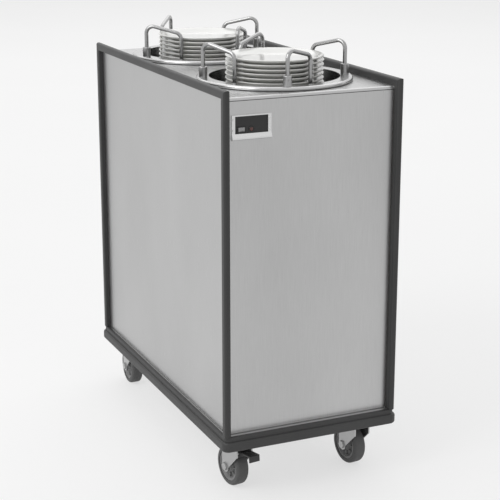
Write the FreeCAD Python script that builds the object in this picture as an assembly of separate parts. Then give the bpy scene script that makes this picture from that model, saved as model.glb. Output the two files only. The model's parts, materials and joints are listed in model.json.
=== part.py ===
"""Mobile heated plate dispenser: an enclosed cabinet on casters with two self-levelling plate wells."""
import FreeCAD, Part
import math
import os

V = FreeCAD.Vector

# Sizes in millimetres. X runs across, Y from the front end to the rear end, Z up from the floor.

# Cabinet shell
BODY_WIDTH = 450.0            # over the outer faces of the side frames
BODY_LENGTH = 895.0           # over the end faces of the side frames
FRAME_TOP = 979.0             # floor to the top of the side frames
DECK_DROP = 19.0              # deck below the top of the side frames
TRIM_SIZE = 20.0              # width of the side frames round the side panels
TRIM_NOSE = 7.0               # rounding of their outer edges
TRIM_INNER_ROUND = 4.0        # rounding of the edge beside the panel
SIDE_RECESS = 12.0            # side panels behind the outer faces of the frames
END_RECESS = 20.0             # end panels and deck edges behind the ends of the frames
PANEL_DEPTH = 4.0             # folded depth of the panels
PANEL_SHEET = 1.5
PANEL_EDGE_ROUND = 2.5        # folded outer edges of the panels
DECK_FLANGE = 7.0             # deck's turned-down end edges
DECK_EDGE_ROUND = 6.0
PANEL_SEAM = 0.8              # gap between a deck flange and the end panel
RAIL_SIZE = 12.0
RAIL_WALL = 2.0

# Base and bumper
PAN_HEIGHT = 31.0
PAN_SHEET = 3.0
PAN_FLANGE = 32.0
BUMPER_PROUD = 5.0            # bumper outside the side frames
BUMPER_THICKNESS = 14.0
BUMPER_DROP = 5.0             # bumper's lower edge below the pan
BUMPER_NOSE_HEIGHT = 25.0     # lower, thicker part of the bumper
BUMPER_STEP = 6.0             # setback of its upper part
BUMPER_CORNER = 18.0
BUMPER_ROUND = 6.0
BUMPER_BAND_ROUND = 3.0

# Controls at the front's upper left corner
BEZEL_WIDTH = 96.0
BEZEL_HEIGHT = 57.0
BEZEL_SIDE_GAP = 10.0         # from the side frame
BEZEL_DECK_GAP = 39.0         # below the deck
BEZEL_THICKNESS = 3.0
BEZEL_SIDE_BAND = 8.0
BEZEL_TOP_BAND = 3.0
BEZEL_LIP = 15.0              # height of the flared lower band
BEZEL_FLARE = 4.0             # how far that band stands out
PLATE_OVERLAP = 2.0           # control plate behind the bezel's window
CONTROL_SHEET = 1.5
ROCKER_WIDTH = 17.0
ROCKER_HEIGHT = 9.0
ROCKER_GAP = 0.4
ROCKER_BACK = 3.0             # body behind the pivot
ROCKER_CREST = 3.2            # face at its ends, in front of the pivot
ROCKER_VALLEY = 1.8           # face at its middle
ROCKER_SETBACK = 2.5          # pivot behind the control plate's face
ROCKER_TILT = 7.0             # degrees
ROCKER_INSET = 8.0            # from the window's left edge
ROCKER_RISE = 4.5             # above the window's lower edge
LAMP_RADIUS = 4.5
LAMP_DOME = 2.2
LAMP_TAIL = 4.0
LAMP_SPACING = 24.0           # from the middle of the rocker
BOX_DEPTH = 42.0
THERMOSTAT_RADIUS = 11.0
THERMOSTAT_HEIGHT = 26.0
INLET_RADIUS = 11.0
INLET_BORE = 5.0
INLET_FLANGE_RADIUS = 16.0
INLET_FLANGE = 3.0
INLET_LENGTH = 24.0
INLET_PROUD = 11.0
INLET_HEIGHT = 220.0          # above the floor
INLET_OFFSET = 120.0          # from the middle of the rear end
CONDUIT_RADIUS = 5.0
CONDUIT_BEND = 15.0
CONDUIT_DROP = 22.0           # level run under the elements' feet
CONDUIT_SPACING = 16.0
TERMINAL_LENGTH = 46.0
TERMINAL_WIDTH = 16.0
TERMINAL_HEIGHT = 8.0

# Plate wells
RING_GAP = 23.0               # flange ring to the side frame
RING_END_GAP = 17.75          # flange ring to the deck's end edge
RING_PAIR_GAP = 12.0          # least gap between the two flange rings
RING_WIDTH = 30.0
RING_RISE = 10.0              # top of the ring above the deck
RING_SHEET = 2.0
RING_ROLL = 5.0               # radius of the ring's rolled edge
RING_COLLAR = 20.0            # depth of the collar round the tube
RING_SEAT = 6.0               # ring's overlap on the deck
TUBE_WALL = 1.5
FRONT_TURN = -15.0            # degrees, how each well is turned in its hole
REAR_TURN = 9.0
SLOT_WIDTH = 26.0
WELL_FLOOR_GAP = 64.5         # tube's floor above the base pan
LIFT_UP = 85.0                # upward travel of the plate carrier from rest
TRAVEL_CLEAR = 24.0           # room past the ends of the travel
ELEMENT_ROOM = 33.0           # carriage's lowest place above the heating element
ROD_RADIUS = 5.0              # carriage rods
ROD_INSET = 10.0              # rods inside the deck's hole
EAR_WIDTH = 20.0
EAR_THICKNESS = 4.0
HANGER_DROP = 20.0            # upper ears below the deck
SPRING_RADIUS = 6.5
SPRING_WIRE = 1.6
SPRING_SPACING = 30.0
SPRING_EDGE = 4.0             # hanger outside its springs
ELEMENT_CIRCLE = 95.0
ELEMENT_RADIUS = 4.0
ELEMENT_PIN_RADIUS = 3.0      # legs under the element
ELEMENT_LEG = 35.0
ELEMENT_LEG_SPREAD = 18.0     # degrees between the two legs

# Plate carrier
PLATFORM_MARGIN = 12.0        # carrier plate inside the plates' edge
PLATFORM_SHEET = 2.5
PLATFORM_RIM = 9.0
PLATFORM_HOLE = 13.0
PLATFORM_HOLE_CIRCLE = 68.0
CARRIAGE_DEPTH = 250.0        # carriage arms below the plates
STEM_RADIUS = 30.0
STEM_WALL = 2.5
STEM_FLANGE = 12.0
ARM_WIDTH = 16.0
ARM_THICKNESS = 6.0
BUSH_WALL = 4.0
BUSH_HEIGHT = 30.0
RUNNING_GAP = 0.05            # shaft in its bore, on the radius

# Plates in the wells
PLATE_RADIUS = 117.0
PLATE_HEIGHT = 22.0
PLATE_FOOT = 4.0
PLATE_FOOT_RADIUS = 72.0
PLATE_FOOT_WIDTH = 5.0
PLATE_BASE = 6.5
PLATE_KNEE = 10.0             # start of the slope outside the foot
PLATE_KNEE_RISE = 1.0
PLATE_RIM = 4.5
PLATE_COUNT = 12
STACK_PROUD = 50.0            # top of the stack above the ring

# Wire plate guides
WIRE_RADIUS = 5.0
POST_INSET = 16.0             # posts inside the ring's outer edge
GUIDE_ARM = 92.5              # post to leg
GUIDE_BEND = 18.0
GUIDE_RISE = 82.0             # above the ring
GUIDE_FALL = 22.0             # slope of the arm
GUIDE_DEPTH = 100.0           # leg below the ring
GUIDE_GAP = 1.5               # leg to the plates' edge
GUIDE_FOOT_GAP = 0.3          # post above its socket's floor
COLLAR_RADIUS = 10.0
COLLAR_HEIGHT = 24.0
COLLAR_FLOOR = 4.0
COLLAR_ROUND = 2.0

# Casters
CASTER_INSET_X = 66.0         # swivel axis from the side frame's face
CASTER_INSET_Y = 74.5
CASTER_TRAIL = 27.0
CASTER_PLATE_LENGTH = 92.0
CASTER_PLATE_WIDTH = 66.0
CASTER_PLATE = 3.0
RACE_RADIUS = 30.0
RACE_TOP_RADIUS = 25.0
RACE_HEIGHT = 10.0
SWIVEL_GAP = 0.4
SWIVEL_RADIUS = 27.0
SWIVEL_HEIGHT = 7.6
FORK_SHEET = 3.5
WHEEL_TOP_GAP = 10.5          # tyre to the fork's bridge
TYRE_SIDE_GAP = 3.0           # tyre to the fork's legs
FORK_FRONT = 30.0             # fork's leading edge from the swivel axis
FORK_REAR = 45.0
FORK_SKIRT = 24.0             # leading edge's height
FORK_BOSS = 14.0
AXLE_RADIUS = 5.0
AXLE_HEAD_RADIUS = 10.0       # to the corners of its hexagon
AXLE_HEAD_HEIGHT = 4.0
WHEEL_RADIUS = 50.0
TYRE_WIDTH = 32.0
TYRE_ROUND = 7.0
TYRE_DEPTH = 12.0
CORE_WIDTH = 28.0
CORE_RIM = 5.0
CORE_WEB = 10.0
HUB_RADIUS = 14.0
HUB_END_GAP = 1.0
PEDAL_WIDTH = 28.0
PEDAL_PIN_RADIUS = 3.5
PEDAL_BARREL = 6.5
PEDAL_PIN_AHEAD = 20.0        # pin ahead of the swivel axis
PEDAL_PIN_DROP = 11.0         # pin below the fork's bridge
PEDAL_REACH = 52.0            # tread's end ahead of the pin
PEDAL_RISE = 6.0              # degrees, slope of the released tread
PEDAL_SHEET = 4.0
PEDAL_LIP = 12.0
PEDAL_ROUND = 1.5
PEDAL_SHOE_THICKNESS = 6.0
PEDAL_SHOE_GAP = 1.0          # shoe to the tyre when pressed
PEDAL_SHOE_TURN = 15.0        # degrees from there to rest
BRAKED_CASTER = "front_left"
SWIVEL_REST = {"front_left": 98.0, "front_right": 97.0, "rear_left": 89.0, "rear_right": 92.0}

OVERRUN = 5.0                 # how far every cutting tool runs past the face it opens
TOLERANCE = 1e-4

# Places worked out from the sizes
HALF_WIDTH = BODY_WIDTH / 2
HALF_LENGTH = BODY_LENGTH / 2
FACE_X = HALF_WIDTH - SIDE_RECESS
FACE_Y = HALF_LENGTH - END_RECESS
INNER_X = FACE_X - PANEL_DEPTH
INNER_Y = FACE_Y - PANEL_DEPTH
TRIM_Y = HALF_LENGTH - TRIM_SIZE
RAIL_Y = FACE_Y - DECK_EDGE_ROUND
DECK_Z = FRAME_TOP - DECK_DROP
DECK_UNDER = DECK_Z - PANEL_SHEET
CASTER_PARTS = (2 * WHEEL_RADIUS, WHEEL_TOP_GAP, FORK_SHEET, SWIVEL_HEIGHT, SWIVEL_GAP, RACE_HEIGHT, CASTER_PLATE)
CASTER_HEIGHT = sum(CASTER_PARTS)
PAN_TOP = CASTER_HEIGHT + PAN_HEIGHT
END_PANEL_TOP = DECK_Z - DECK_FLANGE - PANEL_SEAM
RING_ROOM = FACE_Y - RING_END_GAP - RING_PAIR_GAP / 2
RING_RADIUS = min(INNER_X - RING_GAP, RING_ROOM / 2)
WELL_Y = FACE_Y - RING_END_GAP - RING_RADIUS
RING_TOP = DECK_Z + RING_RISE
RING_UNDER = RING_TOP - RING_SHEET
WELL_RADIUS = RING_RADIUS - RING_WIDTH
TUBE_RADIUS = WELL_RADIUS + TUBE_WALL
DECK_HOLE = RING_RADIUS - RING_SEAT
ROD_CIRCLE = DECK_HOLE - ROD_INSET
POST_CIRCLE = RING_RADIUS - POST_INSET
PLATE_PITCH = PLATE_FOOT + PLATE_BASE
STACK_HEIGHT = (PLATE_COUNT - 1) * PLATE_PITCH + PLATE_HEIGHT
PLATFORM_Z = RING_TOP + STACK_PROUD - STACK_HEIGHT
ARMS_Z = PLATFORM_Z - CARRIAGE_DEPTH
TUBE_BOTTOM = PAN_TOP + WELL_FLOOR_GAP
ELEMENT_Z = TUBE_BOTTOM + TRAVEL_CLEAR
LOWEST_ARMS_Z = ELEMENT_Z + ELEMENT_ROOM
HANGER_Z = DECK_Z - HANGER_DROP
LEG_CIRCLE = PLATE_RADIUS + GUIDE_GAP + WIRE_RADIUS
FORK_UNDER = 2 * WHEEL_RADIUS + WHEEL_TOP_GAP
FORK_TOP = FORK_UNDER + FORK_SHEET
FORK_ROOM = TYRE_WIDTH + 2 * TYRE_SIDE_GAP
CASTER_X = HALF_WIDTH - CASTER_INSET_X
CASTER_Y = HALF_LENGTH - CASTER_INSET_Y
BEZEL_X = -INNER_X + BEZEL_SIDE_GAP
BEZEL_TOP = DECK_Z - BEZEL_DECK_GAP
BEZEL_BOTTOM = BEZEL_TOP - BEZEL_HEIGHT
WINDOW = (BEZEL_X + BEZEL_SIDE_BAND, BEZEL_X + BEZEL_WIDTH - BEZEL_SIDE_BAND,
          BEZEL_BOTTOM + BEZEL_LIP, BEZEL_TOP - BEZEL_TOP_BAND)
ROCKER_X = WINDOW[0] + ROCKER_INSET + ROCKER_WIDTH / 2
ROCKER_Z = WINDOW[2] + ROCKER_RISE + ROCKER_HEIGHT / 2
LAMP_X = ROCKER_X + LAMP_SPACING


def box(x, y, z):
    """Box between the pairs of limits x, y and z."""
    corner = V(min(x), min(y), min(z))
    return Part.makeBox(abs(x[1] - x[0]), abs(y[1] - y[0]), abs(z[1] - z[0]), corner)


def rod(radius, z, x=0.0, y=0.0):
    """Upright cylinder between two levels."""
    return Part.makeCylinder(radius, z[1] - z[0], V(x, y, z[0]))


def rod_y(radius, y, x, z):
    """Cylinder lying along Y between two places."""
    return Part.makeCylinder(radius, y[1] - y[0], V(x, y[0], z), V(0, 1, 0))


def tube(inner, outer, z, x=0.0, y=0.0):
    """Upright tube."""
    return rod(outer, z, x, y).cut(rod(inner, z, x, y))


def prism(points, depth):
    """Flat outline drawn in space, pushed along the vector depth."""
    return Part.Face(Part.makePolygon(points + points[:1])).extrude(depth)


def rounded(shape, radius, chosen):
    """Fillet on the edges whose middle point and direction satisfy chosen."""
    edges = []
    for edge in shape.Edges:
        middle = edge.valueAt((edge.FirstParameter + edge.LastParameter) / 2)
        if chosen(middle, edge):
            edges.append(edge)
    return shape.makeFillet(radius, edges)


def near(value, target):
    return abs(value - target) < TOLERANCE


def runs_along(edge, axis):
    """True for a straight edge parallel to the unit vector axis."""
    along = edge.Vertexes[-1].Point - edge.Vertexes[0].Point
    return along.Length > TOLERANCE and along.cross(axis).Length < TOLERANCE * along.Length


def polar(radius, angle, z=0.0):
    """Point at an angle in degrees on a level circle."""
    turn = math.radians(angle)
    return V(radius * math.cos(turn), radius * math.sin(turn), z)


def turned(shape, angle):
    """Copy turned about the upright axis through the origin."""
    copy = shape.copy()
    copy.rotate(V(0, 0, 0), V(0, 0, 1), angle)
    return copy


def placed(shape, angle, x, y):
    """Copy turned about Z and then moved across the floor."""
    copy = turned(shape, angle)
    copy.translate(V(x, y, 0))
    return copy


def bent_rod(points, bend, radius):
    """Round rod along straight runs joined by arcs."""
    edges = []
    start = points[0]
    for before, corner, after in zip(points, points[1:], points[2:]):
        back = (before - corner).normalize()
        ahead = (after - corner).normalize()
        half = back.getAngle(ahead) / 2
        middle = (back + ahead).normalize()
        first = corner + back * (bend / math.tan(half))
        last = corner + ahead * (bend / math.tan(half))
        crown = corner + middle * (bend / math.sin(half) - bend)
        edges.append(Part.LineSegment(start, first).toShape())
        edges.append(Part.Arc(first, crown, last).toShape())
        start = last
    edges.append(Part.LineSegment(start, points[-1]).toShape())
    section = Part.Wire([Part.Circle(points[0], points[1] - points[0], radius).toShape()])
    return Part.Wire(edges).makePipeShell([section], True, False)


def revolved(outline):
    """Solid of revolution about Z from a closed outline of edges in the XZ plane."""
    return Part.Face(Part.Wire(outline)).revolve(V(0, 0, 0), V(0, 0, 1), 360)


def lines(points):
    """Straight edges through points."""
    return [Part.LineSegment(a, b).toShape() for a, b in zip(points, points[1:])]


# Base

def base_pan():
    """Shallow steel pan with a flange turned in round its top."""
    x = HALF_WIDTH + BUMPER_PROUD - BUMPER_THICKNESS
    y = HALF_LENGTH + BUMPER_PROUD - BUMPER_THICKNESS
    inner_x = x - PAN_SHEET
    inner_y = y - PAN_SHEET
    pan = box((-x, x), (-y, y), (CASTER_HEIGHT, PAN_TOP))
    hollow = box((-inner_x, inner_x), (-inner_y, inner_y), (CASTER_HEIGHT + PAN_SHEET, PAN_TOP - PAN_SHEET))
    mouth_x = x - PAN_FLANGE
    mouth_y = y - PAN_FLANGE
    mouth = box((-mouth_x, mouth_x), (-mouth_y, mouth_y), (CASTER_HEIGHT + PAN_SHEET, PAN_TOP + OVERRUN))
    return pan.cut(hollow).cut(mouth)


def bumper_ring(setback, low, high, radius):
    """One level of the bumper, as a block with rounded corners and edges."""
    x = HALF_WIDTH + BUMPER_PROUD - setback
    y = HALF_LENGTH + BUMPER_PROUD - setback
    block = box((-x, x), (-y, y), (low, high))
    block = rounded(block, BUMPER_CORNER - setback, lambda m, e: runs_along(e, V(0, 0, 1)))
    return rounded(block, radius, lambda m, e: near(m.z, high) or near(m.z, low))


def base_bumper():
    """Moulded bumper round the base pan, a thick nose under a thinner band, in four mitred lengths."""
    low = CASTER_HEIGHT - BUMPER_DROP
    step = low + BUMPER_NOSE_HEIGHT
    nose = bumper_ring(0.0, low, step, BUMPER_ROUND)
    band = bumper_ring(BUMPER_STEP, step - BUMPER_ROUND, PAN_TOP, BUMPER_BAND_ROUND)
    x = HALF_WIDTH + BUMPER_PROUD - BUMPER_THICKNESS
    y = HALF_LENGTH + BUMPER_PROUD - BUMPER_THICKNESS
    ring = nose.fuse(band).cut(box((-x, x), (-y, y), (low - OVERRUN, PAN_TOP + OVERRUN))).removeSplitter()
    far_x = x + 2 * BUMPER_THICKNESS
    far_y = y + 2 * BUMPER_THICKNESS
    height = V(0, 0, PAN_TOP + OVERRUN - low)
    ends = []
    for side in (-1, 1):
        corners = [V(-x, side * y, low), V(x, side * y, low), V(far_x, side * far_y, low), V(-far_x, side * far_y, low)]
        ends.append(prism(corners, height))
    lengths = ring.cut(ends).Solids
    for end in ends:
        lengths += ring.common(end).Solids
    return Part.makeCompound(lengths)


# Cabinet

def edge_trim(side):
    """Dark frame round three edges of a side panel: two uprights and a top bar, mitred at the corners."""
    outer = box((side * HALF_WIDTH, side * INNER_X), (-HALF_LENGTH, HALF_LENGTH), (PAN_TOP, FRAME_TOP))
    opening = box((side * (HALF_WIDTH + OVERRUN), side * (INNER_X - OVERRUN)), (-TRIM_Y, TRIM_Y),
                  (PAN_TOP - OVERRUN, FRAME_TOP - TRIM_SIZE))
    frame = outer.cut(opening)

    def on_outline(m, e):
        level = near(m.z, FRAME_TOP) or near(abs(m.y), HALF_LENGTH)
        return level and not runs_along(e, V(1, 0, 0)) and not near(m.z, PAN_TOP)

    def beside_panel(m, e):
        level = near(m.z, FRAME_TOP - TRIM_SIZE) or near(abs(m.y), TRIM_Y)
        return level and near(m.x, side * HALF_WIDTH) and not near(m.z, PAN_TOP)

    frame = rounded(rounded(frame, TRIM_NOSE, on_outline), TRIM_INNER_ROUND, beside_panel)
    start = side * INNER_X
    low = FRAME_TOP - TRIM_SIZE
    corners = [V(start, -TRIM_Y, low), V(start, TRIM_Y, low), V(start, HALF_LENGTH, FRAME_TOP),
               V(start, -HALF_LENGTH, FRAME_TOP)]
    bar = prism(corners, V(side * HALF_WIDTH - start, 0, 0))
    return Part.makeCompound(frame.cut(bar).Solids + frame.common(bar).Solids)


def side_panel(side):
    """Folded stainless pan, open towards the inside."""
    top = FRAME_TOP - TRIM_SIZE
    pan = box((side * INNER_X, side * FACE_X), (-TRIM_Y, TRIM_Y), (PAN_TOP, top))
    pan = rounded(pan, PANEL_EDGE_ROUND, lambda m, e: near(m.x, side * FACE_X))
    return pan.cut(side_core(side, OVERRUN))


def side_core(side, extra=0.0):
    """Insulation board in a side panel, or the hollow for it."""
    y = TRIM_Y - PANEL_SHEET
    return box((side * (INNER_X - extra), side * (FACE_X - PANEL_SHEET)), (-y, y),
               (PAN_TOP + PANEL_SHEET, FRAME_TOP - TRIM_SIZE - PANEL_SHEET))


def end_panel(side):
    """Folded stainless pan closing one end, open towards the inside."""
    x = INNER_X - PANEL_SHEET
    pan = box((-INNER_X, INNER_X), (side * INNER_Y, side * FACE_Y), (PAN_TOP, END_PANEL_TOP))
    pan = rounded(pan, PANEL_EDGE_ROUND, lambda m, e: near(m.y, side * FACE_Y))
    return pan.cut(box((-x, x), (side * (INNER_Y - OVERRUN), side * (FACE_Y - PANEL_SHEET)),
                       (PAN_TOP + PANEL_SHEET, END_PANEL_TOP - PANEL_SHEET)))


def control_opening(depth):
    """Block the size of the control plate, from the front face inwards."""
    return box((WINDOW[0] - PLATE_OVERLAP, WINDOW[1] + PLATE_OVERLAP), depth,
               (WINDOW[2] - PLATE_OVERLAP, WINDOW[3] + PLATE_OVERLAP))


def front_panel():
    return end_panel(-1).cut(control_opening((-FACE_Y - OVERRUN, -INNER_Y)))


def rear_panel():
    hole = rod_y(INLET_RADIUS, (INNER_Y - OVERRUN, FACE_Y + OVERRUN), INLET_OFFSET, INLET_HEIGHT)
    return end_panel(1).cut(hole)


def top_deck():
    """Deck sheet turned down over both ends with a rounded edge, with the holes for the wells."""
    low = DECK_Z - DECK_FLANGE
    inner = FACE_Y - PANEL_SHEET
    deck = box((-INNER_X, INNER_X), (-FACE_Y, FACE_Y), (low, DECK_Z))
    deck = rounded(deck, DECK_EDGE_ROUND, lambda m, e: near(m.z, DECK_Z) and near(abs(m.y), FACE_Y))
    hollow = box((-INNER_X - OVERRUN, INNER_X + OVERRUN), (-inner, inner), (low - OVERRUN, DECK_UNDER))
    hollow = rounded(hollow, DECK_EDGE_ROUND - PANEL_SHEET,
                     lambda m, e: near(m.z, DECK_UNDER) and near(abs(m.y), inner))
    deck = deck.cut(hollow)
    for y in (-WELL_Y, WELL_Y):
        deck = deck.cut(rod(DECK_HOLE, (low - OVERRUN, DECK_Z + OVERRUN), 0.0, y))
    return deck


def deck_rails():
    """Three box-section rails across the cabinet, under the deck, relieved round the wells."""
    rails = []
    low = DECK_UNDER - RAIL_SIZE
    for y in (-RAIL_Y, -RAIL_SIZE / 2, RAIL_Y - RAIL_SIZE):
        rail = box((-INNER_X, INNER_X), (y, y + RAIL_SIZE), (low, DECK_UNDER))
        bore = box((-INNER_X - OVERRUN, INNER_X + OVERRUN), (y + RAIL_WALL, y + RAIL_SIZE - RAIL_WALL),
                   (low + RAIL_WALL, DECK_UNDER - RAIL_WALL))
        rail = rail.cut(bore)
        for well in (-WELL_Y, WELL_Y):
            rail = rail.cut(rod(DECK_HOLE, (low - OVERRUN, DECK_Z), 0.0, well))
        rails.extend(rail.Solids)
    return Part.makeCompound(rails)


# Controls

def control_bezel():
    """Bright frame round the control plate, with a flared lower band."""
    face = -FACE_Y
    front = face - BEZEL_THICKNESS
    lip_top = BEZEL_BOTTOM + BEZEL_LIP
    outline = [V(BEZEL_X, face, BEZEL_BOTTOM), V(BEZEL_X, front - BEZEL_FLARE, BEZEL_BOTTOM + BEZEL_THICKNESS),
               V(BEZEL_X, front - BEZEL_FLARE, BEZEL_BOTTOM + 2 * BEZEL_THICKNESS),
               V(BEZEL_X, front, lip_top), V(BEZEL_X, front, BEZEL_TOP), V(BEZEL_X, face, BEZEL_TOP)]
    frame = prism(outline, V(BEZEL_WIDTH, 0, 0))
    window = box(WINDOW[:2], (front - BEZEL_FLARE - OVERRUN, face + OVERRUN), WINDOW[2:])
    return frame.cut(window)


def control_plate():
    """Dark plate with the openings for the switch and the lamp."""
    plate = control_opening((-FACE_Y, -FACE_Y + CONTROL_SHEET))
    through = (-FACE_Y - OVERRUN, -FACE_Y + CONTROL_SHEET + OVERRUN)
    half = ROCKER_WIDTH / 2 + ROCKER_GAP
    tall = ROCKER_HEIGHT / 2 + ROCKER_GAP
    switch = box((ROCKER_X - half, ROCKER_X + half), through, (ROCKER_Z - tall, ROCKER_Z + tall))
    return plate.cut(switch).cut(rod_y(LAMP_RADIUS, through, LAMP_X, ROCKER_Z))


def power_rocker():
    """Rocking key with a shallow valley in its face, resting on its tilted stop."""
    pivot = -FACE_Y + ROCKER_SETBACK
    half = ROCKER_WIDTH / 2 - ROCKER_GAP
    low = ROCKER_Z - ROCKER_HEIGHT / 2
    outline = [V(ROCKER_X - half, pivot + ROCKER_BACK, low), V(ROCKER_X + half, pivot + ROCKER_BACK, low),
               V(ROCKER_X + half, pivot - ROCKER_CREST, low), V(ROCKER_X, pivot - ROCKER_VALLEY, low),
               V(ROCKER_X - half, pivot - ROCKER_CREST, low)]
    key = prism(outline, V(0, 0, ROCKER_HEIGHT))
    key.rotate(V(ROCKER_X, pivot, 0), V(0, 0, 1), ROCKER_TILT)
    return key


def pilot_lamp():
    """Lens with a domed face and a short tail behind the plate."""
    face = -FACE_Y
    crown = face - LAMP_DOME
    barrel = rod_y(LAMP_RADIUS, (crown, face + CONTROL_SHEET + LAMP_TAIL), LAMP_X, ROCKER_Z)
    return rounded(barrel, LAMP_DOME, lambda m, e: near(m.y, crown))


def control_box():
    """Sheet box behind the control plate, open towards it."""
    back = -FACE_Y + CONTROL_SHEET
    block = control_opening((back, back + BOX_DEPTH))
    limits = block.BoundBox
    hollow = box((limits.XMin + CONTROL_SHEET, limits.XMax - CONTROL_SHEET),
                 (back - OVERRUN, limits.YMax - CONTROL_SHEET),
                 (limits.ZMin + CONTROL_SHEET, limits.ZMax - CONTROL_SHEET))
    return block.cut(hollow)


def thermostat():
    """Sealed thermostat standing on the floor of the control box."""
    floor = WINDOW[2] - PLATE_OVERLAP + CONTROL_SHEET
    y = -FACE_Y + CONTROL_SHEET + BOX_DEPTH / 2
    return rod(THERMOSTAT_RADIUS, (floor, floor + THERMOSTAT_HEIGHT), WINDOW[1] - 2 * THERMOSTAT_RADIUS, y)


def cord_inlet():
    """Flanged cord gland through the rear panel."""
    end = FACE_Y + INLET_PROUD
    barrel = rod_y(INLET_RADIUS, (end - INLET_LENGTH, end), INLET_OFFSET, INLET_HEIGHT)
    flange = rod_y(INLET_FLANGE_RADIUS, (FACE_Y, FACE_Y + INLET_FLANGE), INLET_OFFSET, INLET_HEIGHT)
    bore = rod_y(INLET_BORE, (end - INLET_LENGTH - OVERRUN, end + OVERRUN), INLET_OFFSET, INLET_HEIGHT)
    return barrel.fuse(flange).cut(bore)


def heater_leads():
    """Two wired conduits from the control box to terminal blocks under the heating elements."""
    start_z = WINDOW[2] - PLATE_OVERLAP
    start_y = -FACE_Y + CONTROL_SHEET + BOX_DEPTH / 2
    foot_z = ELEMENT_Z - ELEMENT_LEG
    level = foot_z - CONDUIT_DROP
    block = box((-ELEMENT_CIRCLE - TERMINAL_WIDTH / 2, -ELEMENT_CIRCLE + TERMINAL_WIDTH / 2),
                (-TERMINAL_LENGTH / 2, TERMINAL_LENGTH / 2), (foot_z - TERMINAL_HEIGHT, foot_z))
    leads = []
    for index, (y, turn) in enumerate(((-WELL_Y, FRONT_TURN), (WELL_Y, REAR_TURN))):
        foot = polar(ELEMENT_CIRCLE, 180 + turn) + V(0, y, 0)
        x = WINDOW[0] + CONDUIT_SPACING * (2 * index + 1)
        path = [V(x, start_y, start_z), V(x, start_y, level), V(foot.x, foot.y, level), V(foot.x, foot.y, foot_z)]
        leads.append(bent_rod(path, CONDUIT_BEND, CONDUIT_RADIUS).fuse(placed(block, turn, 0.0, y)))
    return Part.makeCompound(leads)


# Plate wells, each drawn about the origin and then set into its half of the deck

def rod_angles():
    """Angles of the two carriage rods and of the two spring groups, from the first guide post."""
    first = leg_angle() + 45
    return (first, first + 180), (first + 90, first + 270)


def leg_angle():
    """Angle at the well's centre between a guide's post and its leg."""
    return math.degrees(math.acos((POST_CIRCLE ** 2 + LEG_CIRCLE ** 2 - GUIDE_ARM ** 2)
                                  / (2 * POST_CIRCLE * LEG_CIRCLE)))


def flange_ring():
    """Raised ring with a rolled edge that rests on the deck, and a collar round the tube."""
    web = tube(WELL_RADIUS, RING_RADIUS - RING_ROLL, (RING_UNDER, RING_TOP))
    collar = tube(TUBE_RADIUS, TUBE_RADIUS + RING_SHEET, (RING_UNDER - RING_COLLAR, RING_UNDER))
    roll = Part.makeTorus(RING_RADIUS - RING_ROLL, RING_ROLL, V(0, 0, DECK_Z + RING_ROLL))
    return web.fuse([collar, roll]).removeSplitter()


def guide_collars():
    """Four sockets on the ring, one for each guide's post."""
    bore = WIRE_RADIUS + RUNNING_GAP
    socket = rod(COLLAR_RADIUS, (RING_TOP, RING_TOP + COLLAR_HEIGHT), POST_CIRCLE)
    socket = rounded(socket, COLLAR_ROUND, lambda m, e: near(m.z, RING_TOP + COLLAR_HEIGHT))
    socket = socket.cut(rod(bore, (RING_TOP + COLLAR_FLOOR, RING_TOP + COLLAR_HEIGHT + OVERRUN), POST_CIRCLE))
    return Part.makeCompound([turned(socket, 90 * k) for k in range(4)])


def element_feet(radius, z):
    """Two upright legs of the heating element, or the holes for them."""
    feet = []
    for side in (-1, 1):
        place = polar(ELEMENT_CIRCLE, 180 + side * ELEMENT_LEG_SPREAD / 2)
        feet.append(rod(radius, z, place.x, place.y))
    return feet


def well_ear(half, z):
    """Tab on the outside of the tube, its curved root fitted to the wall."""
    top = z + EAR_THICKNESS
    ear = box((WELL_RADIUS / 2, ROD_CIRCLE + 2 * ROD_RADIUS), (-half, half), (z, top))
    return ear.cut(rod(WELL_RADIUS, (z - OVERRUN, top + OVERRUN)))


def well_tube():
    """Tube with a floor, slots for the carriage arms, ears for the rods and hangers for the springs."""
    wall = tube(WELL_RADIUS, TUBE_RADIUS, (TUBE_BOTTOM, RING_UNDER))
    well = wall.fuse(rod(TUBE_RADIUS, (TUBE_BOTTOM, TUBE_BOTTOM + TUBE_WALL)))
    rods, springs = rod_angles()
    low = LOWEST_ARMS_Z - TRAVEL_CLEAR
    high = ARMS_Z + LIFT_UP + TRAVEL_CLEAR
    slot = box((0, TUBE_RADIUS + OVERRUN), (-SLOT_WIDTH / 2, SLOT_WIDTH / 2), (low, high))
    well = well.cut([turned(slot, a) for a in rods + springs])
    half = SPRING_SPACING / 2 + SPRING_RADIUS + SPRING_EDGE
    ears = [turned(well_ear(EAR_WIDTH / 2, z), a) for a in rods for z in (TUBE_BOTTOM, HANGER_Z)]
    well = well.fuse(ears + [turned(well_ear(half, HANGER_Z), a) for a in springs])
    return well.cut(element_feet(ELEMENT_PIN_RADIUS, (TUBE_BOTTOM - OVERRUN, TUBE_BOTTOM + TUBE_WALL + OVERRUN)))


def guide_rods():
    """Two upright rods outside the tube that the carriage runs on."""
    rods = []
    for angle in rod_angles()[0]:
        place = polar(ROD_CIRCLE, angle)
        rods.append(rod(ROD_RADIUS, (TUBE_BOTTOM + EAR_THICKNESS, HANGER_Z), place.x, place.y))
    return Part.makeCompound(rods)


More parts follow.
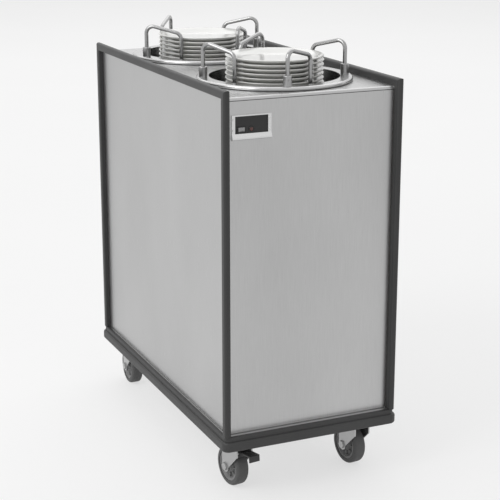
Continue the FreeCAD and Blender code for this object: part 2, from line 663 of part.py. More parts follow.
def lift_platform():
    """Round carrier plate with a turned-down rim and warm-air holes."""
    radius = PLATE_RADIUS - PLATFORM_MARGIN
    top = (PLATFORM_Z - PLATFORM_SHEET, PLATFORM_Z)
    plate = rod(radius, top).fuse(tube(radius - PLATFORM_SHEET, radius, (PLATFORM_Z - PLATFORM_RIM, PLATFORM_Z)))
    for k in range(6):
        place = polar(PLATFORM_HOLE_CIRCLE, 60 * k)
        plate = plate.cut(rod(PLATFORM_HOLE, (top[0] - OVERRUN, top[1] + OVERRUN), place.x, place.y))
    return plate.removeSplitter()


def lift_carriage():
    """Stem under the carrier plate, and arms through the tube's slots to the rods and springs."""
    top = PLATFORM_Z - PLATFORM_SHEET
    arms = (ARMS_Z - ARM_THICKNESS / 2, ARMS_Z + ARM_THICKNESS / 2)
    stem = tube(STEM_RADIUS - STEM_WALL, STEM_RADIUS, (arms[0], top))
    flange = tube(STEM_RADIUS - STEM_WALL, STEM_RADIUS + STEM_FLANGE, (top - PLATFORM_SHEET, top))
    rods, springs = rod_angles()
    pieces = [flange]
    arm = box((STEM_RADIUS - STEM_WALL, ROD_CIRCLE), (-ARM_WIDTH / 2, ARM_WIDTH / 2), arms)
    half = SPRING_SPACING / 2 + SPRING_RADIUS
    head = box((ROD_CIRCLE - SPRING_RADIUS, ROD_CIRCLE + SPRING_RADIUS), (-half, half), arms)
    bush = rod(ROD_RADIUS + BUSH_WALL, (ARMS_Z - BUSH_HEIGHT / 2, ARMS_Z + BUSH_HEIGHT / 2), ROD_CIRCLE)
    for angle in rods:
        pieces += [turned(arm, angle), turned(bush, angle)]
    for angle in springs:
        pieces += [turned(arm, angle), turned(head, angle)]
    carriage = stem.fuse(pieces)
    bore = rod(ROD_RADIUS + RUNNING_GAP, (ARMS_Z - BUSH_HEIGHT, ARMS_Z + BUSH_HEIGHT), ROD_CIRCLE)
    return carriage.cut([turned(bore, a) for a in rods]).removeSplitter()


def lift_springs():
    """Four extension springs, as the closed sleeves of their coils."""
    sleeves = []
    for angle in rod_angles()[1]:
        for side in (-1, 1):
            sleeve = tube(SPRING_RADIUS - SPRING_WIRE, SPRING_RADIUS, (ARMS_Z + ARM_THICKNESS / 2, HANGER_Z),
                          ROD_CIRCLE, side * SPRING_SPACING / 2)
            sleeves.append(turned(sleeve, angle))
    return Part.makeCompound(sleeves)


def heating_element():
    """Tubular element: a ring on two legs that pass through the tube's floor."""
    ring = Part.makeTorus(ELEMENT_CIRCLE, ELEMENT_RADIUS, V(0, 0, ELEMENT_Z))
    return ring.fuse(element_feet(ELEMENT_PIN_RADIUS, (ELEMENT_Z - ELEMENT_LEG, ELEMENT_Z)))


def plate_guide(index):
    """Bent wire: post in its socket, sloping arm, and a leg down the plates' edge."""
    foot = RING_TOP + COLLAR_FLOOR + GUIDE_FOOT_GAP
    top = RING_TOP + GUIDE_RISE
    angle = leg_angle()
    path = [polar(POST_CIRCLE, 0, foot), polar(POST_CIRCLE, 0, top), polar(LEG_CIRCLE, angle, top - GUIDE_FALL),
            polar(LEG_CIRCLE, angle, RING_TOP - GUIDE_DEPTH)]
    return turned(bent_rod(path, GUIDE_BEND, WIRE_RADIUS), 90 * index)


def dinner_plate(z):
    """Round plate: foot ring, flat base and a sloping rim with a rounded edge."""
    base = z + PLATE_PITCH
    rim_top = z + PLATE_HEIGHT
    knee = PLATE_FOOT_RADIUS + PLATE_KNEE
    lip = PLATE_RADIUS - PLATE_RIM / 2
    inner_foot = PLATE_FOOT_RADIUS - PLATE_FOOT_WIDTH
    under = [V(0, 0, z + PLATE_FOOT), V(inner_foot, 0, z + PLATE_FOOT), V(inner_foot, 0, z),
             V(PLATE_FOOT_RADIUS, 0, z), V(knee, 0, z + PLATE_FOOT + PLATE_KNEE_RISE), V(lip, 0, rim_top - PLATE_RIM)]
    over = [V(lip, 0, rim_top), V(knee, 0, base), V(0, 0, base), V(0, 0, z + PLATE_FOOT)]
    edge = Part.Arc(under[-1], V(PLATE_RADIUS, 0, rim_top - PLATE_RIM / 2), over[0]).toShape()
    return revolved(lines(under) + [edge] + lines(over))


def plate_stack():
    """Loose stack of plates standing on the carrier plate."""
    return Part.makeCompound([dinner_plate(PLATFORM_Z + k * PLATE_PITCH) for k in range(PLATE_COUNT)])


# Casters, each drawn about its swivel axis with the wheel trailing along X

def caster_plates():
    """Four mounting plates with their fixed ball races."""
    low = CASTER_HEIGHT - CASTER_PLATE
    plates = []
    for x in (-CASTER_X, CASTER_X):
        for y in (-CASTER_Y, CASTER_Y):
            plate = box((x - CASTER_PLATE_WIDTH / 2, x + CASTER_PLATE_WIDTH / 2),
                        (y - CASTER_PLATE_LENGTH / 2, y + CASTER_PLATE_LENGTH / 2), (low, CASTER_HEIGHT))
            race = Part.makeCone(RACE_RADIUS, RACE_TOP_RADIUS, RACE_HEIGHT, V(x, y, low - RACE_HEIGHT))
            plates.append(plate.fuse(race))
    return Part.makeCompound(plates)


def caster_fork():
    """Swivel fork: turntable, bridge and two tapering legs, with the axle bolt through them."""
    inner = FORK_ROOM / 2
    outer = inner + FORK_SHEET
    turntable = rod(SWIVEL_RADIUS, (FORK_TOP, FORK_TOP + SWIVEL_HEIGHT))
    bridge = box((-FORK_FRONT, FORK_REAR), (-outer, outer), (FORK_UNDER, FORK_TOP))
    bridge = rounded(bridge, FORK_SHEET, lambda m, e: runs_along(e, V(0, 0, 1)))
    skirt = FORK_TOP - FORK_SKIRT
    outline = [V(-FORK_FRONT + FORK_SHEET, inner, FORK_UNDER), V(FORK_REAR - FORK_SHEET, inner, FORK_UNDER),
               V(CASTER_TRAIL + FORK_BOSS, inner, WHEEL_RADIUS), V(CASTER_TRAIL - FORK_BOSS, inner, WHEEL_RADIUS),
               V(-FORK_FRONT + FORK_SHEET, inner, skirt)]
    leg = prism(outline, V(0, FORK_SHEET, 0))
    leg = leg.fuse(rod_y(FORK_BOSS, (inner, outer), CASTER_TRAIL, WHEEL_RADIUS))
    leg = leg.cut(rod_y(AXLE_RADIUS, (inner - OVERRUN, outer + OVERRUN), CASTER_TRAIL, WHEEL_RADIUS))
    fork = turntable.fuse([bridge, leg, leg.mirror(V(0, 0, 0), V(0, 1, 0))])
    axle = rod_y(AXLE_RADIUS, (-outer, outer), CASTER_TRAIL, WHEEL_RADIUS)
    for low in (-outer - AXLE_HEAD_HEIGHT, outer):
        corners = [polar(AXLE_HEAD_RADIUS, 60 * k) for k in range(6)]
        hexagon = [V(CASTER_TRAIL + c.x, low, WHEEL_RADIUS + c.y) for c in corners]
        axle = axle.fuse(prism(hexagon, V(0, AXLE_HEAD_HEIGHT, 0)))
    return fork.removeSplitter(), axle


def braked_fork():
    """Fork with the pin of its brake pedal."""
    fork, axle = caster_fork()
    half = FORK_ROOM / 2 + FORK_SHEET
    pin = rod_y(PEDAL_PIN_RADIUS, (-half, half), -PEDAL_PIN_AHEAD, FORK_UNDER - PEDAL_PIN_DROP)
    return fork.fuse(pin).removeSplitter(), axle


def wheel_profile(points):
    """Wheel part turned about the axle from an outline of radius and half-width pairs."""
    outline = [V(r, 0, w) for r, w in points]
    outline += [V(r, 0, -w) for r, w in reversed(points)]
    wheel = Part.Face(Part.makePolygon(outline + outline[:1])).revolve(V(0, 0, 0), V(0, 0, 1), 360)
    wheel.rotate(V(0, 0, 0), V(1, 0, 0), 90)
    wheel.translate(V(CASTER_TRAIL, 0, WHEEL_RADIUS))
    return wheel


def wheel_core():
    """Grey wheel core: hub, web and rim, bored for the axle."""
    rim = WHEEL_RADIUS - TYRE_DEPTH
    bore = AXLE_RADIUS + RUNNING_GAP
    hub = FORK_ROOM / 2 - HUB_END_GAP
    return wheel_profile([(bore, hub), (HUB_RADIUS, hub), (HUB_RADIUS + CORE_RIM, CORE_WEB / 2),
                          (rim - 2 * CORE_RIM, CORE_WEB / 2), (rim - CORE_RIM, CORE_WIDTH / 2), (rim, CORE_WIDTH / 2)])


def tyre():
    """Solid rubber tyre with rounded shoulders."""
    half = TYRE_WIDTH / 2
    band = wheel_profile([(WHEEL_RADIUS - TYRE_DEPTH, half), (WHEEL_RADIUS, half)])
    return rounded(band, TYRE_ROUND, lambda m, e: near(abs(m.y), half) and e.Length > 6 * (WHEEL_RADIUS - TYRE_ROUND))


def brake_pedal():
    """Foot pedal on the fork's pin, with a tread plate ahead and a brake shoe towards the tyre."""
    half = PEDAL_WIDTH / 2
    x = -PEDAL_PIN_AHEAD
    z = FORK_UNDER - PEDAL_PIN_DROP
    barrel = rod_y(PEDAL_BARREL, (-half, half), x, z)
    tread = box((x - PEDAL_REACH, x), (-half, half), (z, z + PEDAL_SHEET))
    tread = tread.fuse(box((x - PEDAL_REACH, x - PEDAL_REACH + PEDAL_SHEET), (-half, half), (z - PEDAL_LIP, z)))
    tread = rounded(tread.removeSplitter(), PEDAL_ROUND, lambda m, e: near(m.x, x - PEDAL_REACH))
    tread.rotate(V(x, 0, z), V(0, 1, 0), PEDAL_RISE)
    across = CASTER_TRAIL - x
    below = z - WHEEL_RADIUS
    length = math.hypot(across, below) - WHEEL_RADIUS - PEDAL_SHOE_GAP
    shoe = box((x, x + length), (-half, half), (z - PEDAL_SHOE_THICKNESS / 2, z + PEDAL_SHOE_THICKNESS / 2))
    shoe.rotate(V(x, 0, z), V(0, 1, 0), math.degrees(math.atan2(below, across)) + PEDAL_SHOE_TURN)
    pedal = barrel.fuse([tread, shoe])
    bore = rod_y(PEDAL_PIN_RADIUS + RUNNING_GAP, (-half - OVERRUN, half + OVERRUN), x, z)
    return pedal.cut(bore).removeSplitter()


def caster_nodes():
    """Fork, wheel core, tyre and pedal of each caster, turned to where it stands."""
    nodes = {}
    for name, angle in SWIVEL_REST.items():
        x = CASTER_X if name.endswith("right") else -CASTER_X
        y = CASTER_Y if name.startswith("rear") else -CASTER_Y
        braked = name == BRAKED_CASTER
        fork = Part.makeCompound(braked_fork() if braked else caster_fork())
        nodes["caster_fork_" + name] = placed(fork, angle, x, y)
        nodes["wheel_core_" + name] = placed(wheel_core(), angle, x, y)
        nodes["tyre_" + name] = placed(tyre(), angle, x, y)
        if braked:
            nodes["brake_pedal_" + name] = placed(brake_pedal(), angle, x, y)
    return nodes


def well_nodes():
    """All pieces of both wells."""
    nodes = {}
    for end, y, turn in (("front", -WELL_Y, FRONT_TURN), ("rear", WELL_Y, REAR_TURN)):
        for make in (flange_ring, guide_collars, well_tube, guide_rods, lift_platform, lift_carriage,
                     lift_springs, heating_element, plate_stack):
            nodes[end + "_" + make.__name__] = placed(make(), turn, 0.0, y)
        for index in range(4):
            nodes["%s_plate_guide_%d" % (end, index + 1)] = placed(plate_guide(index), turn, 0.0, y)
    return nodes


def cabinet_nodes():
    """Base, shell and controls."""
    nodes = {}
    for make in (base_pan, base_bumper, front_panel, rear_panel, top_deck, deck_rails, control_bezel, control_plate,
                 power_rocker, pilot_lamp, control_box, thermostat, cord_inlet, heater_leads, caster_plates):
        nodes[make.__name__] = make()
    for name, side in (("left", -1), ("right", 1)):
        nodes["edge_trim_" + name] = edge_trim(side)
        nodes["side_panel_" + name] = side_panel(side)
    nodes["side_cores"] = Part.makeCompound([side_core(-1), side_core(1)])
    return nodes


def main():
    os.makedirs("parts", exist_ok=True)
    nodes = {}
    for group in (cabinet_nodes, well_nodes, caster_nodes):
        nodes.update(group())
    for name, shape in nodes.items():
        print(name, len(shape.Solids), "solids", "valid" if shape.isValid() else "not valid")
        shape.exportStep("parts/%s.step" % name)
    print(len(nodes), "nodes")


main()
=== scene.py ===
"""Heated plate dispenser: materials, small parts, floor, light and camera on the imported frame."""
import json
import math

import bmesh
import bpy
from mathutils import Matrix, Vector


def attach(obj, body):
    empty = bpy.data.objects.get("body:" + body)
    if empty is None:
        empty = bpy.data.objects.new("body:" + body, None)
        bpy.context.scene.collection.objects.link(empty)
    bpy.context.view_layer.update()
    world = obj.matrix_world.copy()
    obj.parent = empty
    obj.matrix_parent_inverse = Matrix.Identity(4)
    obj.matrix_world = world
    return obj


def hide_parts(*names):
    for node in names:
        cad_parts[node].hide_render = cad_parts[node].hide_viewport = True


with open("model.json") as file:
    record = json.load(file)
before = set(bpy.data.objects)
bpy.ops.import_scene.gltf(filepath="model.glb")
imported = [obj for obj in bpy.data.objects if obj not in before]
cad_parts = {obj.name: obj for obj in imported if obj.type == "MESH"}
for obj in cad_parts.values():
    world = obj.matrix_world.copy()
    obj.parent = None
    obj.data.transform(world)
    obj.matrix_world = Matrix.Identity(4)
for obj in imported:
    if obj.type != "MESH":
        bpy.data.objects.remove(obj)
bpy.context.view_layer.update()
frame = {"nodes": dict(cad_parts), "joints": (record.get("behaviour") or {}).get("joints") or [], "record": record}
NODES = frame["nodes"]
MM = 0.001


# Materials

def start(name):
    """New material with its tree, shader and object-space coordinates."""
    mat = bpy.data.materials.new(name)
    mat.use_nodes = True
    tree = mat.node_tree
    shader = tree.nodes["Principled BSDF"]
    coords = tree.nodes.new("ShaderNodeTexCoord")
    return mat, tree, shader, coords.outputs["Object"]


def noise(tree, source, scale, stretch=(1.0, 1.0, 1.0), detail=4.0, rough=0.55):
    """Noise value over stretched object coordinates."""
    mapping = tree.nodes.new("ShaderNodeMapping")
    mapping.inputs["Scale"].default_value = stretch
    tree.links.new(source, mapping.inputs["Vector"])
    texture = tree.nodes.new("ShaderNodeTexNoise")
    texture.inputs["Scale"].default_value = scale
    texture.inputs["Detail"].default_value = detail
    texture.inputs["Roughness"].default_value = rough
    tree.links.new(mapping.outputs["Vector"], texture.inputs["Vector"])
    return texture.outputs[0]


def ramp(tree, value, low, high, start_at=0.3, end_at=0.7):
    """Colour between low and high by a noise value."""
    node = tree.nodes.new("ShaderNodeValToRGB")
    node.color_ramp.elements[0].position = start_at
    node.color_ramp.elements[1].position = end_at
    node.color_ramp.elements[0].color = (*low, 1.0)
    node.color_ramp.elements[1].color = (*high, 1.0)
    tree.links.new(value, node.inputs["Fac"])
    return node.outputs["Color"]


def multiply(tree, first, second):
    """Product of two colours."""
    node = tree.nodes.new("ShaderNodeMix")
    node.data_type = "RGBA"
    node.blend_type = "MULTIPLY"
    node.inputs["Factor"].default_value = 1.0
    tree.links.new(first, node.inputs[6])
    tree.links.new(second, node.inputs[7])
    return node.outputs[2]


def spread(tree, value, low, high):
    """Value mapped from noise to a range."""
    node = tree.nodes.new("ShaderNodeMapRange")
    node.inputs["From Min"].default_value = 0.3
    node.inputs["From Max"].default_value = 0.7
    node.inputs["To Min"].default_value = low
    node.inputs["To Max"].default_value = high
    tree.links.new(value, node.inputs["Value"])
    return node.outputs["Result"]


def bump(tree, shader, value, strength, depth):
    """Bump from a value, with its depth in metres."""
    node = tree.nodes.new("ShaderNodeBump")
    node.inputs["Strength"].default_value = strength
    node.inputs["Distance"].default_value = depth
    tree.links.new(value, node.inputs["Height"])
    tree.links.new(node.outputs["Normal"], shader.inputs["Normal"])


def grey(value):
    """Colour without hue."""
    return (value, value, value)


def steel(name, tone, rough, along, contrast=0.05, stain=0.06):
    """Brushed steel: fine streaks along one axis, faint broad stains, uneven polish."""
    mat, tree, shader, source = start(name)
    stretch = [1.0 if axis == along else 60.0 for axis in "xyz"]
    streaks = noise(tree, source, 14.0, stretch, 3.0, 0.7)
    broad = noise(tree, source, 3.2, (1.0, 1.0, 0.6), 3.0, 0.5)
    colour = ramp(tree, streaks, grey(tone * (1 - contrast)), grey(tone * (1 + contrast)))
    clouds = ramp(tree, broad, grey(1 - stain), grey(1.0))
    tree.links.new(multiply(tree, colour, clouds), shader.inputs["Base Color"])
    tree.links.new(spread(tree, streaks, rough * 0.85, rough * 1.2), shader.inputs["Roughness"])
    shader.inputs["Metallic"].default_value = 1.0
    bump(tree, shader, streaks, 0.12, 0.0002)
    return mat


def matt(name, low, high, rough, grain=900.0, relief=0.25, coat=0.0, cloud=6.0):
    """Moulded plastic, rubber or paint: fine grain, cloudy tone, uneven gloss."""
    mat, tree, shader, source = start(name)
    fine = noise(tree, source, grain, (1.0, 1.0, 1.0), 2.0, 0.6)
    broad = noise(tree, source, cloud, (1.0, 1.0, 1.0), 5.0, 0.6)
    tree.links.new(ramp(tree, broad, low, high), shader.inputs["Base Color"])
    tree.links.new(spread(tree, broad, rough * 0.85, rough * 1.15), shader.inputs["Roughness"])
    shader.inputs["Coat Weight"].default_value = coat
    bump(tree, shader, fine, relief, 0.0002)
    return mat


MATS = {
    "panel_steel": steel("panel_steel", 0.53, 0.32, "z", 0.06, 0.09),
    "deck_steel": steel("deck_steel", 0.52, 0.30, "y"),
    "well_steel": steel("well_steel", 0.55, 0.22, "x", 0.04),
    "collar_steel": steel("collar_steel", 0.38, 0.30, "z"),
    "wire_steel": steel("wire_steel", 0.40, 0.20, "z", 0.04),
    "caster_zinc": steel("caster_zinc", 0.50, 0.34, "x", 0.07, 0.12),
    "spring_steel": steel("spring_steel", 0.32, 0.40, "z", 0.08, 0.15),
    "element": steel("element_sheath", 0.18, 0.50, "x", 0.10, 0.2),
    "base_paint": steel("base_steel", 0.55, 0.36, "y", 0.06, 0.08),
    "bezel": steel("bezel_metal", 0.72, 0.26, "x", 0.04, 0.03),
    "inner_metal": steel("inner_metal", 0.45, 0.40, "z", 0.06, 0.1),
    "edge_trim": matt("edge_vinyl", grey(0.026), grey(0.040), 0.46),
    "bumper": matt("bumper_rubber", grey(0.034), grey(0.056), 0.52, 700.0, 0.35),
    "insulation": matt("mineral_wool", (0.50, 0.46, 0.33), (0.66, 0.62, 0.48), 0.9, 300.0, 0.9),
    "control_black": matt("control_face", grey(0.012), grey(0.022), 0.38, 1200.0, 0.15),
    "rocker": matt("rocker_plastic", grey(0.36), grey(0.44), 0.35, 1000.0, 0.1),
    "lamp": matt("lamp_lens", (0.070, 0.010, 0.006), (0.11, 0.016, 0.008), 0.12, 500.0, 0.05, 0.6),
    "china": matt("glazed_china", (0.80, 0.80, 0.775), (0.84, 0.84, 0.82), 0.14, 260.0, 0.05, 0.35, 9.0),
    "pedal_black": matt("pedal_coat", grey(0.020), grey(0.034), 0.42, 700.0, 0.2),
    "wheel_grey": matt("wheel_core", grey(0.24), grey(0.30), 0.48, 800.0, 0.2),
    "tyre_grey": matt("wheel_tyre", grey(0.085), grey(0.12), 0.62, 600.0, 0.35),
}
for entry in frame["record"]["subparts"]:
    slots = NODES[entry["node"]].data.materials
    slots.clear()
    slots.append(MATS[entry["material_slot"]])


# Small parts, drawn in millimetres about their own Z axis

def spun(profile, sides=32):
    """Surface turned about Z from radius and height pairs, as points and faces."""
    points = []
    rows = []
    for radius, height in profile:
        count = sides if radius else 1
        rows.append([len(points) + k for k in range(count)])
        for k in range(count):
            turn = 2 * math.pi * k / sides
            points.append((radius * math.cos(turn), radius * math.sin(turn), height))
    faces = []
    for low, high in zip(rows, rows[1:]):
        for k in range(sides):
            face = [low[k % len(low)], low[(k + 1) % len(low)]]
            face += [high[(k + 1) % len(high)], high[k % len(high)]]
            faces.append(list(dict.fromkeys(face)))
    return points, faces


def block(x, y, z):
    """Box between pairs of limits, as points and faces."""
    points = [(a, b, c) for a in x for b in y for c in z]
    faces = [(0, 1, 3, 2), (4, 6, 7, 5), (0, 4, 5, 1), (2, 3, 7, 6), (0, 2, 6, 4), (1, 5, 7, 3)]
    return points, faces


def window_frame(outer, inner, depth):
    """Flat rectangular frame, as points and faces."""
    corners = ((-1, -1), (1, -1), (1, 1), (-1, 1))
    points = []
    for level in (0.0, depth):
        for half in (outer, inner):
            points += [(sx * half[0], sy * half[1], level) for sx, sy in corners]
    faces = []
    for k in range(4):
        n = (k + 1) % 4
        faces += [(k, n, 4 + n, 4 + k), (8 + k, 12 + k, 12 + n, 8 + n), (k, 8 + k, 8 + n, n),
                  (4 + k, 4 + n, 12 + n, 12 + k)]
    return points, faces


def facing(place, direction):
    """Matrix that sets a part at a place in millimetres with its Z axis along direction."""
    turn = Vector(direction).to_track_quat("Z", "Y").to_matrix().to_4x4()
    return Matrix.Translation(Vector(place) * MM) @ turn @ Matrix.Scale(MM, 4)


def seated(place, across, up):
    """Matrix that sets a part at a place in millimetres, with its X axis along across and its Z along up."""
    axes = Matrix((across, up.cross(across), up)).transposed().to_4x4()
    return Matrix.Translation(place * MM) @ axes @ Matrix.Scale(MM, 4)


def build(name, bits, finish, body, bevel=0.0, sharp=35.0):
    """One object from parts and their matrices, with soft and sharp edges, riding on a body."""
    mesh = bmesh.new()
    for (points, faces), matrix in bits:
        verts = [mesh.verts.new(matrix @ Vector(p)) for p in points]
        for face in faces:
            mesh.faces.new([verts[k] for k in face])
    bmesh.ops.remove_doubles(mesh, verts=mesh.verts, dist=0.00001)
    bmesh.ops.recalc_face_normals(mesh, faces=mesh.faces)
    if bevel:
        edges = [e for e in mesh.edges if e.is_manifold and e.calc_face_angle() > math.radians(sharp)]
        bmesh.ops.bevel(mesh, geom=edges, offset=bevel * MM, segments=2, affect="EDGES", profile=0.5)
    for face in mesh.faces:
        face.smooth = True
    for edge in mesh.edges:
        edge.smooth = not edge.is_manifold or edge.calc_face_angle() < math.radians(sharp)
    data = bpy.data.meshes.new(name)
    mesh.to_mesh(data)
    mesh.free()
    data.materials.append(MATS[finish])
    obj = bpy.data.objects.new(name, data)
    bpy.context.collection.objects.link(obj)
    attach(obj, body)
    return obj


WASHER_DEPTH = 1.3
HEX_BOLT = spun([(0.0, 0.0), (6.8, 0.0), (6.8, 1.2), (5.6, 1.4), (5.6, 4.6), (5.0, 5.2), (0.0, 5.2)], 6)
WASHER = spun([(0.0, 0.0), (7.6, 0.0), (7.6, 1.0), (7.2, WASHER_DEPTH), (0.0, WASHER_DEPTH)], 28)
RIVET = spun([(0.0, 0.7), (0.9, 0.7), (1.0, 1.5), (1.5, 1.5), (2.3, 1.0), (2.7, 0.0), (0.0, -0.3)], 20)
SCREW = spun([(0.0, 0.9), (1.5, 0.9), (1.8, 2.0), (2.8, 1.9), (4.0, 1.0), (4.3, 0.0), (0.0, -0.4)], 24)
GRUB = spun([(0.0, 0.2), (1.3, 0.2), (1.4, 1.0), (2.2, 1.0), (2.5, 0.6), (2.5, -0.6), (0.0, -0.6)], 18)
LAMP_RING = spun([(4.6, 0.0), (4.6, 1.4), (5.0, 1.7), (6.2, 1.7), (6.8, 1.1), (6.8, 0.0), (4.6, 0.0)], 40)
WHEEL_RIB = block((17.0, 31.0), (-1.4, 1.4), (4.6, 11.0))
GRIP_BAR = block((-11.5, 11.5), (-1.3, 1.3), (-0.5, 1.1))
PLATE_UNDERSIDE = [(0.0, 4.0), (66.0, 4.0), (66.8, 3.4), (67.0, 0.5), (67.8, 0.0), (71.2, 0.0), (72.0, 0.6),
                   (73.5, 2.2), (82.0, 5.0), (98.0, 11.2), (112.0, 16.6)]
PLATE_RIM = [(115.4, 18.2), (116.6, 19.4), (117.0, 20.5), (116.5, 21.5), (115.2, 22.0)]
PLATE_TOP = [(113.0, 21.7), (98.0, 16.2), (88.0, 12.7), (82.5, 11.0), (77.0, 10.5), (0.0, 10.5)]
PLATE = spun(PLATE_UNDERSIDE + PLATE_RIM + PLATE_TOP, 96)

# Places in millimetres, on the frame

WELLS = (("front", -223.75, -15.0), ("rear", 223.75, 9.0))    # name, middle along Y, turn of the guides
FRONT_FACE = -427.5
BEZEL_FACE = FRONT_FACE - 3.0
SWITCH = (-174.5, FRONT_FACE, 888.0)
SWITCH_OUTER = (11.0, 6.9)
SWITCH_INNER = (9.1, 5.1)
SWITCH_DEPTH = 1.3
PILOT = (-150.5, FRONT_FACE, 888.0)
CASTERS = [(x, y) for x in (-159.0, 159.0) for y in (-373.0, 373.0)]
CASTER_BOLTS = [(x, y) for x in (-24.0, 24.0) for y in (-36.0, 36.0)]
CASTER_PLATE_FOOT = 132.0
BEZEL_RIVETS = [(x, z) for x in (-195.0, -107.0) for z in (887.0, 911.0)]
REAR_SCREWS = [(x, z) for x in (-190.0, 190.0) for z in (182.0, 430.0, 680.0, 930.0)]
GUIDES = 4                   # on each well
COLLAR_REACH = 180.0         # from the well's axis to the head of the grub screw
COLLAR_SCREW_HEIGHT = 985.0
PLATES = 12                  # in each stack
PLATE_PITCH = 10.5
PLATE_FOOT = 882.5
PLATE_STRAY = 0.7            # how far a plate lies out of line
RIBS = 8                     # on each face of a wheel
GRIP_SLOPE = math.radians(6.0)
GRIP_RISE = 4.0
GRIP_REACHES = (24.0, 30.0, 36.0, 42.0, 48.0)
FORWARD = (0.0, -1.0, 0.0)
BACKWARD = (0.0, 1.0, 0.0)
UP = (0.0, 0.0, 1.0)
DOWN = (0.0, 0.0, -1.0)


def fasteners():
    """Caster bolts, bezel rivets, rear panel screws and the grub screws of the guide collars."""
    bits = []
    for x, y in CASTERS:
        for dx, dy in CASTER_BOLTS:
            bits.append((WASHER, facing((x + dx, y + dy, CASTER_PLATE_FOOT), DOWN)))
            bits.append((HEX_BOLT, facing((x + dx, y + dy, CASTER_PLATE_FOOT - WASHER_DEPTH), DOWN)))
    build("caster_bolts", bits, "caster_zinc", "cabinet")
    bits = [(RIVET, facing((x, BEZEL_FACE, z), FORWARD)) for x, z in BEZEL_RIVETS]
    build("bezel_rivets", bits, "bezel", "cabinet")
    bits = [(SCREW, facing((x, -FRONT_FACE, z), BACKWARD)) for x, z in REAR_SCREWS]
    build("rear_screws", bits, "caster_zinc", "cabinet")
    bits = []
    for _, y, turn in WELLS:
        for k in range(GUIDES):
            angle = math.radians(turn + 360 * k / GUIDES)
            out = Vector((math.cos(angle), math.sin(angle), 0.0))
            place = out * COLLAR_REACH + Vector((0.0, y, COLLAR_SCREW_HEIGHT))
            bits.append((GRUB, facing(place, out)))
    build("collar_screws", bits, "spring_steel", "cabinet")


def controls():
    """Surround of the switch and collar of the lamp."""
    surround = window_frame(SWITCH_OUTER, SWITCH_INNER, SWITCH_DEPTH)
    build("rocker_surround", [(surround, facing(SWITCH, FORWARD))], "control_black", "cabinet", 0.3)
    build("lamp_collar", [(LAMP_RING, facing(PILOT, FORWARD))], "control_black", "cabinet")


def plates():
    """Glazed plates with rounded rims, each a hair out of line, in place of the plain stacks."""
    for end, y, _ in WELLS:
        bits = []
        for k in range(PLATES):
            aside = PLATE_STRAY * math.sin(2.3 * k + y)
            along = y + PLATE_STRAY * math.cos(1.7 * k)
            bits.append((PLATE, facing((aside, along, PLATE_FOOT + PLATE_PITCH * k), UP)))
        stack = build(end + "_plates", bits, "china", "plates_" + end)
        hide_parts(end + "_plate_stack")


def wheel_ribs():
    """Moulded ribs between the hub and the rim of each wheel."""
    for joint in frame["joints"]:
        if not joint["name"].endswith("_wheel"):
            continue
        axis = Vector(joint["axis"])
        centre = Vector(joint["pos_m"]) / MM
        bits = []
        for side in (1, -1):
            for k in range(RIBS):
                spin = Matrix.Rotation(2 * math.pi * k / RIBS, 4, "Z")
                bits.append((WHEEL_RIB, facing(centre, axis * side) @ spin))
        build("ribs_" + joint["child"], bits, "wheel_grey", joint["child"], 0.8)


def pedal_grip():
    """Raised grip bars across the tread of the brake pedal."""
    up = Vector(UP)
    for joint in frame["joints"]:
        if not joint["name"].endswith("_brake"):
            continue
        across = Vector(joint["axis"])
        ahead = across.cross(up)
        along = ahead * math.cos(GRIP_SLOPE) + up * math.sin(GRIP_SLOPE)
        top = up * math.cos(GRIP_SLOPE) - ahead * math.sin(GRIP_SLOPE)
        foot = Vector(joint["pos_m"]) / MM + top * GRIP_RISE
        bits = [(GRIP_BAR, seated(foot + along * reach, across, top)) for reach in GRIP_REACHES]
        build("grip_" + joint["child"], bits, "pedal_black", joint["child"], 0.5)


fasteners()
controls()
plates()
wheel_ribs()
pedal_grip()


# Floor, light and camera

WORLD_SEEN = 0.90
WORLD_LIGHT = 0.46
FLOOR_GLOW = 0.62            # how much of the floor's white is its own
LAMPS = (
    ("key", (-2.8, -0.8, 2.8), (-0.2, -0.2, 0.4), (2.4, 2.4), 48.0),
    ("backdrop", (2.0, 5.0, 5.0), (2.0, 5.0, 0.0), (8.0, 10.0), 200.0),
)
CAMERA_PLACE = (-1.3880, -3.1997, 1.4705)
CAMERA_DIP = 0.2765
CAMERA_TURN = -0.4188
LENS = 100.18


def seen(tree, share):
    """Share for what the camera, reflections and clear parts see, and nothing for the light on the object."""
    rays = tree.nodes.new("ShaderNodeLightPath")
    total = rays.outputs["Is Camera Ray"]
    for kind in ("Is Glossy Ray", "Is Transmission Ray"):
        add = tree.nodes.new("ShaderNodeMath")
        add.operation = "MAXIMUM"
        tree.links.new(total, add.inputs[0])
        tree.links.new(rays.outputs[kind], add.inputs[1])
        total = add.outputs["Value"]
    scale = tree.nodes.new("ShaderNodeMath")
    scale.operation = "MULTIPLY"
    scale.inputs[1].default_value = share
    tree.links.new(total, scale.inputs[0])
    return scale.outputs["Value"]


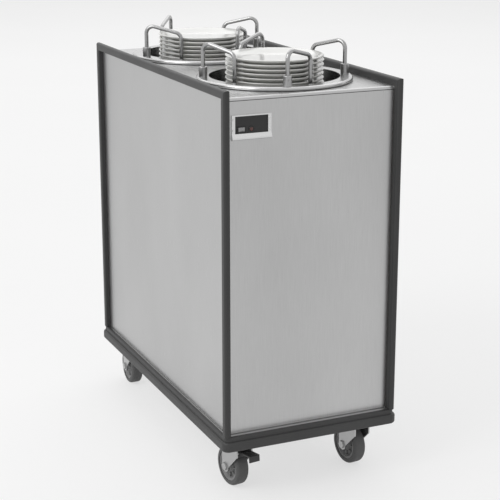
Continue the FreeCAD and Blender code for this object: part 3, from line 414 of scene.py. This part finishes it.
def stage():
    """Pale floor, white surround and two soft lamps."""
    bpy.ops.mesh.primitive_plane_add(size=60.0)
    floor = bpy.context.object
    floor.name = "floor"
    mat, tree, shader, source = start("floor_paper")
    tree.links.new(ramp(tree, noise(tree, source, 0.8), grey(0.90), grey(0.93)), shader.inputs["Base Color"])
    shader.inputs["Roughness"].default_value = 0.9
    glow = tree.nodes.new("ShaderNodeEmission")
    blend = tree.nodes.new("ShaderNodeMixShader")
    tree.links.new(seen(tree, FLOOR_GLOW), blend.inputs["Fac"])
    tree.links.new(shader.outputs["BSDF"], blend.inputs[1])
    tree.links.new(glow.outputs["Emission"], blend.inputs[2])
    tree.links.new(blend.outputs["Shader"], tree.nodes["Material Output"].inputs["Surface"])
    floor.data.materials.append(mat)
    world = bpy.data.worlds.new("studio")
    bpy.context.scene.world = world
    world.use_nodes = True
    tree = world.node_tree
    background = tree.nodes["Background"]
    background.inputs["Color"].default_value = (1.0, 1.0, 1.0, 1.0)
    rays = tree.nodes.new("ShaderNodeLightPath")
    level = tree.nodes.new("ShaderNodeMapRange")
    level.inputs["To Min"].default_value = WORLD_SEEN
    level.inputs["To Max"].default_value = WORLD_LIGHT
    tree.links.new(rays.outputs["Is Diffuse Ray"], level.inputs["Value"])
    tree.links.new(level.outputs["Result"], background.inputs["Strength"])
    for name, place, aim, size, power in LAMPS:
        light = bpy.data.lights.new(name, "AREA")
        light.shape = "RECTANGLE"
        light.size, light.size_y = size
        light.energy = power
        lamp = bpy.data.objects.new(name, light)
        lamp.location = place
        lamp.rotation_euler = (Vector(aim) - Vector(place)).to_track_quat("-Z", "Y").to_euler()
        lamp.visible_camera = False
        bpy.context.collection.objects.link(lamp)


def camera():
    """Camera at the photo's place."""
    data = bpy.data.cameras.new("view")
    data.sensor_width = 36.0
    data.lens = LENS
    view = bpy.data.objects.new("view", data)
    view.location = CAMERA_PLACE
    view.rotation_euler = (math.pi / 2 - CAMERA_DIP, 0.0, CAMERA_TURN)
    bpy.context.collection.objects.link(view)
    bpy.context.scene.camera = view


stage()
camera()
bpy.context.scene.view_settings.view_transform = "Standard"
